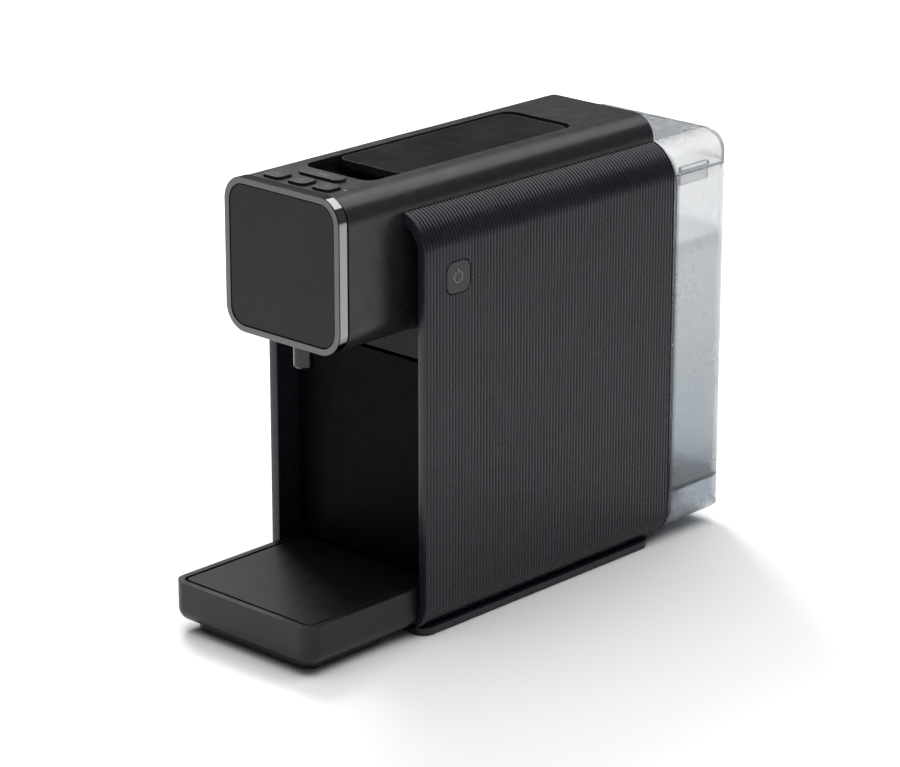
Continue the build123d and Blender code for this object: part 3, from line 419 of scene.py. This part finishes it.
def rib_profile(front, back):
    """Depth of the outside along the panel: round ribs with narrow grooves, and softened end edges."""
    places = [front, front + EDGE_STEP, front + EDGE_ROUND]
    depths = [0.0, 0.0, 0.0]
    inset = [EDGE_ROUND, EDGE_STEP, 0.0]
    first, last = front + EDGE_BAND, back - EDGE_BAND
    pitch = (last - first) / RIB_COUNT
    for rib in range(RIB_COUNT):
        for step in range(RIB_STEPS):
            u = math.sin(math.pi / 2 * (2 * step / RIB_STEPS - 1))
            places.append(first + (rib + (u + 1) / 2) * pitch)
            depths.append(RIB_DEPTH * (1 - math.sqrt(max(0.0, 1 - u * u))))
            inset.append(0.0)
    places += [last, back - EDGE_ROUND, back - EDGE_STEP, back]
    depths += [RIB_DEPTH, 0.0, 0.0, 0.0]
    inset += [0.0, 0.0, EDGE_STEP, EDGE_ROUND]
    return np.array(places), np.array(depths), np.array(inset)


def build_panel(name, node, side):
    """A closed panel with round ribs outside and a plain inside."""
    low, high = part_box(node)
    outer_x = max(abs(low.x), abs(high.x))
    section, outward, share = panel_section(outer_x)
    places, depths, inset = rib_profile(low.y, high.y)
    count = len(section)
    points, faces = [], []
    for y, depth, edge in zip(places, depths, inset):
        outside = section - outward * (depth * share + edge)[:, None]
        inside = section - outward * (PANEL["thickness"] - edge)
        inside[:, 0] = np.maximum(inside[:, 0], PANEL["edge_x"])
        for x, z in outside:
            points.append((side * x, y, z))
        for x, z in inside[::-1]:
            points.append((side * x, y, z))
    ring = 2 * count
    for row in range(len(places) - 1):
        for k in range(ring):
            a, b = row * ring + k, row * ring + (k + 1) % ring
            faces.append((a, b, b + ring, a + ring))
    last = (len(places) - 1) * ring
    for k in range(count - 1):
        other = ring - 1 - k
        faces.append((k + 1, k, other, other - 1))
        faces.append((last + k, last + k + 1, last + other - 1, last + other))
    if side > 0:
        faces = [face[::-1] for face in faces]
    return new_piece(name, points, faces, violet_charcoal, "machine", (node,))


def rounded_outline(width, height, radius, steps=10):
    """Points round a rounded rectangle about (0, 0)."""
    outline = []
    for cx, cy, start in ((1, 1, 0), (-1, 1, 90), (-1, -1, 180), (1, -1, 270)):
        for step in range(steps + 1):
            angle = math.radians(start + 90 * step / steps)
            outline.append((cx * (width / 2 - radius) + radius * math.cos(angle),
                            cy * (height / 2 - radius) + radius * math.sin(angle)))
    return outline


def cut_hole(piece, centre_y, centre_z, width, height, radius, x_low, x_high):
    """Cuts a rounded-square hole along X through a piece."""
    outline = rounded_outline(width, height, radius)
    count = len(outline)
    points = [(x, centre_y + u, centre_z + v) for x in (x_low, x_high) for u, v in outline]
    faces = [tuple(range(count))[::-1], tuple(range(count, 2 * count))]
    faces += [(k, (k + 1) % count, count + (k + 1) % count, count + k) for k in range(count)]
    mesh = bpy.data.meshes.new("hole_cutter")
    mesh.from_pydata(points, [], faces)
    cutter = bpy.data.objects.new("hole_cutter", mesh)
    bpy.context.scene.collection.objects.link(cutter)
    boolean = piece.modifiers.new("hole", "BOOLEAN")
    boolean.operation = "DIFFERENCE"
    boolean.solver = "EXACT"
    boolean.object = cutter
    bpy.context.view_layer.update()
    evaluated = piece.evaluated_get(bpy.context.evaluated_depsgraph_get())
    cut_mesh = bpy.data.meshes.new_from_object(evaluated)
    piece.modifiers.clear()
    piece.data = cut_mesh
    bpy.data.objects.remove(cutter)
    set_finish(piece, violet_charcoal)


build_panel("left_ribbed_panel", "left_side_panel", -1)
right_panel = build_panel("right_ribbed_panel", "right_side_panel", 1)
BUTTON_SKIRT = 3 * MM
BUTTON_GAP = 0.9 * MM
button_low, button_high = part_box("power_button")
button_y = (button_low.y + button_high.y) / 2
button_z = (button_low.z + button_high.z) / 2
button_width = (button_high.y - button_low.y) - BUTTON_SKIRT
button_height = (button_high.z - button_low.z) - BUTTON_SKIRT
cut_hole(right_panel, button_y, button_z, button_width + BUTTON_GAP, button_height + BUTTON_GAP, 5.4 * MM,
         button_low.x - 2 * MM, button_high.x + 2 * MM)


# ---------------------------------------------------------------- power mark and key marks
MARK_BELOW = 0.05 * MM


def ribbon_points(radius, line, start, end, steps):
    """Two rows of points along an arc, start and end in degrees."""
    inner, outer = [], []
    for step in range(steps + 1):
        angle = math.radians(start + (end - start) * step / steps)
        inner.append(((radius - line / 2) * math.cos(angle), (radius - line / 2) * math.sin(angle)))
        outer.append(((radius + line / 2) * math.cos(angle), (radius + line / 2) * math.sin(angle)))
    return inner, outer


def build_power_mark():
    """A broken ring and a short bar, inlaid in the button's engraving."""
    radius, line = 3.1 * MM, 0.5 * MM
    inner, outer = ribbon_points(radius, line, 118, 422, 40)
    top = button_high.x - MARK_BELOW
    base = top - 0.30 * MM
    points, faces = [], []
    for x in (top, base):
        points += [(x, button_y + u, button_z + v) for u, v in inner + outer]
    count = len(inner)
    layer = 2 * count
    for k in range(count - 1):
        faces.append((k, k + 1, count + k + 1, count + k))
        faces.append((layer + k, layer + k + 1, k + 1, k))
        faces.append((count + k, count + k + 1, layer + count + k + 1, layer + count + k))
    start = len(points)
    half = line / 2
    bar = [(-half, 1.2 * MM), (half, 1.2 * MM), (half, 4.6 * MM), (-half, 4.6 * MM)]
    for x in (top, base):
        points += [(x, button_y + u, button_z + v) for u, v in bar]
    faces.append((start, start + 1, start + 2, start + 3))
    for k in range(4):
        n = (k + 1) % 4
        faces.append((start + k, start + n, start + 4 + n, start + 4 + k))
    new_piece("power_mark", points, faces, mark, "power_key")


def build_key_mark(name, node, body, length):
    """A short pale dash inlaid in the slot of a key's top."""
    low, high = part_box(node)
    x, y = (low.x + high.x) / 2, (low.y + high.y) / 2
    top = high.z - MARK_BELOW
    outline = rounded_outline(length - 0.1 * MM, 0.6 * MM, 0.2 * MM, 4)
    count = len(outline)
    points = [(x + u, y + v, top - 0.15 * MM) for u, v in outline]
    points += [(x + u, y + v, top) for u, v in outline]
    faces = [tuple(range(count, 2 * count))]
    faces += [(k, (k + 1) % count, count + (k + 1) % count, count + k) for k in range(count)]
    new_piece(name, points, faces, mark, body)


# the marks' lengths are those of the slots in the CAD keys
build_power_mark()
for key_node, key_body, dash in (
    ("key_small_left", "left_key", 1.8), ("key_small_middle", "middle_key", 2.4),
    ("key_small_right", "right_key", 3.0), ("key_long", "long_key", 6.5),
):
    build_key_mark(key_node + "_mark", key_node, key_body, dash * MM)


# ---------------------------------------------------------------- floor, light and camera
def build_floor():
    """A wide pale floor that isn't part of the object."""
    g = Graph("studio_floor")
    bsdf = g.shader(**{"Specular IOR Level": 0.2})
    g.join(g.mix(g.remap(g.noise(3.0), 0, 1), (0.90, 0.90, 0.90), (0.92, 0.92, 0.92)),
           bsdf.inputs["Base Color"])
    g.join(g.remap(g.noise(40.0), 0.75, 0.85), bsdf.inputs["Roughness"])
    size = 14.0
    mesh = bpy.data.meshes.new("floor")
    corners = [(-size, -size, 0), (size, -size, 0), (size, size, 0), (-size, size, 0)]
    mesh.from_pydata(corners, [], [(0, 1, 2, 3)])
    floor = bpy.data.objects.new("floor", mesh)
    bpy.context.scene.collection.objects.link(floor)
    floor.data.materials.append(g.material)


def add_area(name, place, aim, size, energy, mirrored=True):
    """A soft box light aimed at a point. One that isn't mirrored gives light but no highlight."""
    light = bpy.data.lights.new(name, "AREA")
    light.energy = energy
    light.size = size
    lamp = bpy.data.objects.new(name, light)
    lamp.location = place
    lamp.rotation_euler = (Vector(aim) - Vector(place)).to_track_quat("-Z", "Y").to_euler()
    lamp.visible_glossy = mirrored
    bpy.context.scene.collection.objects.link(lamp)


def add_camera():
    """The camera of the main view, from the front right and a little above."""
    azimuth, elevation = math.radians(43.26), math.radians(18.57)
    distance = 1.920
    target = Vector((0.00894, -0.014, 0.1158))
    away = Vector((math.sin(azimuth) * math.cos(elevation), -math.cos(azimuth) * math.cos(elevation),
                   math.sin(elevation)))
    data = bpy.data.cameras.new("main_camera")
    data.sensor_width = 36.0
    data.lens = 140.3
    data.clip_start, data.clip_end = 0.05, 60.0
    camera = bpy.data.objects.new("main_camera", data)
    camera.location = target + away * distance
    camera.rotation_euler = away.to_track_quat("Z", "Y").to_euler()
    bpy.context.scene.collection.objects.link(camera)
    bpy.context.scene.camera = camera


def set_world(strength):
    """Even white light from all round."""
    world = bpy.data.worlds.new("studio")
    bpy.context.scene.world = world
    world.use_nodes = True
    background = world.node_tree.nodes["Background"]
    background.inputs["Color"].default_value = (1.0, 1.0, 1.0, 1)
    background.inputs["Strength"].default_value = strength


build_floor()
set_world(0.12)
add_area("overhead", (-0.1, 0.5, 2.5), (0, 0.3, 0), 4.0, 118.0)
add_area("back_left_key", (-1.75, 0.95, 1.75), (0, 0, 0.1), 0.8, 20.0)
add_area("back_left_soft", (-1.7, 0.9, 1.9), (0, 0, 0.1), 0.8, 24.0, mirrored=False)
add_camera()
bpy.context.scene.view_settings.view_transform = "Standard"
